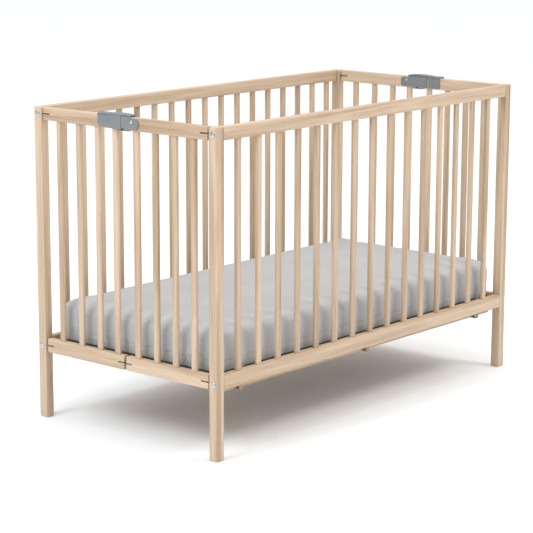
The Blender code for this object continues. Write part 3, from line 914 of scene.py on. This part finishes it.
def outline_inset(z, high):
    """How far the side stands in from its widest, at a height: crown, wall, seam and hem."""
    if z > high - MATTRESS_ROUND:
        rise = (z - (high - MATTRESS_ROUND)) / MATTRESS_ROUND
        return MATTRESS_ROUND * (1 - math.sqrt(max(0.0, 1 - rise * rise)))
    if z < HEM_Z:
        return HEM_INSET
    drop = max(0.0, 1 - (z - HEM_Z) / HEM_DEEP)
    return HEM_INSET * drop ** 2.2


def ring_points(half_x, half_y, radius, steps):
    """Points round a rectangle with rounded corners."""
    points = []
    for cx, cy, base in ((1, 1, 0), (-1, 1, 90), (-1, -1, 180), (1, -1, 270)):
        for i in range(steps + 1):
            angle = math.radians(base + 90 * i / steps)
            points.append((
                cx * (half_x - radius) + radius * math.cos(angle),
                cy * (half_y - radius) + radius * math.sin(angle),
            ))
    return points


def mattress_form(low, high, shrink):
    """Closed loft of rounded rectangles that follow the side's profile."""
    bm = bmesh.new()
    half_x = (high.x - low.x) / 2 - shrink
    half_y = (high.y - low.y) / 2 - shrink
    middle_y = (high.y + low.y) / 2
    levels = [low.z, low.z + 0.004, HEM_Z - 0.008, HEM_Z]
    levels += [HEM_Z + HEM_DEEP * i / 5 for i in range(1, 6)]
    levels += [high.z - shrink - MATTRESS_ROUND + MATTRESS_ROUND * i / 9 for i in range(10)]
    rows = []
    for z in levels:
        inset = outline_inset(z + (shrink if z > SEAM_Z else 0.0), high.z)
        if z == low.z:
            inset += 0.004
        radius = max(0.018 - inset * 0.3, 0.010)
        points = ring_points(half_x - inset, half_y - inset, radius, 6)
        rows.append([bm.verts.new((x, y + middle_y, z)) for x, y in points])
    count = len(rows[0])
    for a, b in zip(rows, rows[1:]):
        for i in range(count):
            j = (i + 1) % count
            bm.faces.new((a[i], a[j], b[j], b[i]))
    bm.faces.new(list(reversed(rows[0])))
    bm.faces.new(rows[-1])
    bmesh.ops.recalc_face_normals(bm, faces=bm.faces)
    return bm


def puff(obj):
    """Inflate the remeshed form as cloth, then hold each point near where it began."""
    start = np.array([v.co for v in obj.data.vertices])
    cloth = obj.modifiers.new("cloth", "CLOTH")
    cloth.settings.use_pressure = True
    cloth.settings.uniform_pressure_force = CLOTH_PRESSURE
    cloth.settings.quality = 4
    cloth.settings.mass = 0.3
    cloth.settings.effector_weights.gravity = 0.0
    cloth.point_cache.frame_start = 1
    cloth.point_cache.frame_end = CLOTH_STEPS
    scene = bpy.context.scene
    for step in range(1, CLOTH_STEPS + 1):
        scene.frame_set(step)
    graph = bpy.context.evaluated_depsgraph_get()
    mesh = obj.evaluated_get(graph).to_mesh()
    moved = np.array([v.co for v in mesh.vertices])
    obj.evaluated_get(graph).to_mesh_clear()
    obj.modifiers.remove(cloth)
    scene.frame_set(1)
    delta = moved - start
    reach = np.linalg.norm(delta, axis=1, keepdims=True)
    delta *= np.minimum(1.0, CLOTH_CAP / np.maximum(reach, 1e-9))
    hem = np.clip((start[:, 2:3] - (HEM_Z - 0.004)) / 0.018, 0.0, 1.0)
    place = start + delta * hem
    obj.data.vertices.foreach_set("co", place.astype(np.float32).ravel())
    obj.data.update()


def wall_inset(p, out, around):
    """How far the side is drawn in at a point: the sewn groove, its gathers and slow waves."""
    off = abs(p.z - SEAM_Z)
    groove = 0.0018 * math.exp(-((off / 0.0032) ** 2))
    ripple = noise.noise(Vector((around * 46.0, p.z * 9.0, out.x * 5 + out.y * 9)))
    gather = 0.0018 * ripple * math.exp(-((off / 0.016) ** 2))
    slow = 0.0022 * noise.noise(Vector((around * 7.0, p.z * 12.0, 3.0 + out.y)))
    return groove + gather + slow


def top_rise(p, edge):
    """How far the top rises or sinks at a point: broad dips and small ones, none at the rim."""
    soft = min(1.0, edge / 0.09)
    dip = noise.noise(Vector((p.x * 3.2, p.y * 4.5, 7.0))) * 0.0016
    fine = noise.noise(Vector((p.x * 15.0, p.y * 21.0, 2.0))) * 0.0006
    return soft * (dip + fine)


def crease(obj, low, high):
    """Sew the seam round the side, gather the cloth at it, and dip the top."""
    half_x = (high.x - low.x) / 2
    half_y = (high.y - low.y) / 2
    middle_y = (high.y + low.y) / 2
    for vert in obj.data.vertices:
        p = vert.co.copy()
        to_end = (1 - abs(p.x) / half_x) * half_x
        to_side = (1 - abs(p.y - middle_y) / half_y) * half_y
        if to_end < to_side:
            out = Vector((math.copysign(1, p.x), 0, 0))
            around = p.y
        else:
            out = Vector((0, math.copysign(1, p.y - middle_y), 0))
            around = p.x
        if HEM_Z - 0.003 < p.z < high.z - 0.02:
            vert.co -= out * wall_inset(p, out, around)
        if p.z > high.z - 0.03:
            vert.co.z += top_rise(p, min(to_end, to_side))
    obj.data.update()


def mattress(look):
    """A sewn pad: lofted, remeshed, inflated as cloth, creased and smoothed."""
    low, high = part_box("mattress")
    shrink = CLOTH_SHRINK
    obj = mesh_object("mattress_pad", mattress_form(low, high, shrink), [look], 60.0)
    remesh = obj.modifiers.new("remesh", "REMESH")
    remesh.mode = "VOXEL"
    remesh.voxel_size = VOXEL
    applied(obj, remesh)
    puff(obj)
    crease(obj, low, high)
    fine = obj.modifiers.new("fine", "SUBSURF")
    fine.levels = 1
    fine.render_levels = 1
    mesh = applied(obj, fine)
    mesh.materials.clear()
    mesh.materials.append(look)
    mesh.shade_smooth()
    finish(obj, "mattress", "mattress_cloth", "mattress")
    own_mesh(obj)


# ---------------------------------------------------------------- build

def looks_of_all():
    """The materials that aren't timber."""
    return {
        "plastic": lock_plastic(),
        "zinc": zinc("zinc_plate", (0.60, 0.65, 0.70), 0.20, 0.34),
        "steel": zinc("hinge_steel", (0.15, 0.155, 0.165), 0.32, 0.48),
        "lacquer": lacquer(),
        "cloth": sheet_cloth(),
    }


def folding_end(side_name, sx, wood, looks):
    """One end: its two halves, the bolts at its legs, and its lock."""
    for half_name, sy in HALVES:
        end_timber(side_name, half_name, sy, wood)
    for prefix, body in (("back", "back_side"), ("front", "front_side")):
        for rail_name in ("top", "lower"):
            socket_bolt(f"{prefix}_{side_name}_{rail_name}_bolt", body, sx, looks["zinc"])
    lever_body = f"{side_name}_{'front' if sx < 0 else 'back'}_half"
    catch_body = f"{side_name}_{'back' if sx < 0 else 'front'}_half"
    lock_lever(side_name, sx, looks["plastic"])
    lock_catch(side_name, sx, catch_body, looks["plastic"])
    lock_screw(side_name, sx, lever_body, looks["zinc"])


def main():
    add_camera()
    add_stage()
    add_light()
    wood = [beech(f"beech_{axis}", axis) for axis in "xyz"]
    looks = looks_of_all()
    side_timber("back", "back_side", 1, wood)
    side_timber("front", "front_side", -1, wood)
    for side_name, sx in SIDES:
        folding_end(side_name, sx, wood, looks)
    base_timber(wood)
    bracket_screws("front_side", "support_screws", -1, looks["zinc"])
    bracket_screws("back_side", "base_hinge_screws", 1, looks["zinc"])
    support_tops(looks["zinc"])
    shade_plates(looks)
    mattress(looks["cloth"])


main()


def plain(bounds):
    """Nested lists of numbers from whatever shape the bounds come in."""
    if isinstance(bounds, (int, float)):
        return float(bounds)
    if isinstance(bounds, dict):
        return {key: plain(value) for key, value in bounds.items()}
    return [plain(value) for value in bounds]


plain(CAD_BOUNDS)
plain(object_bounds())
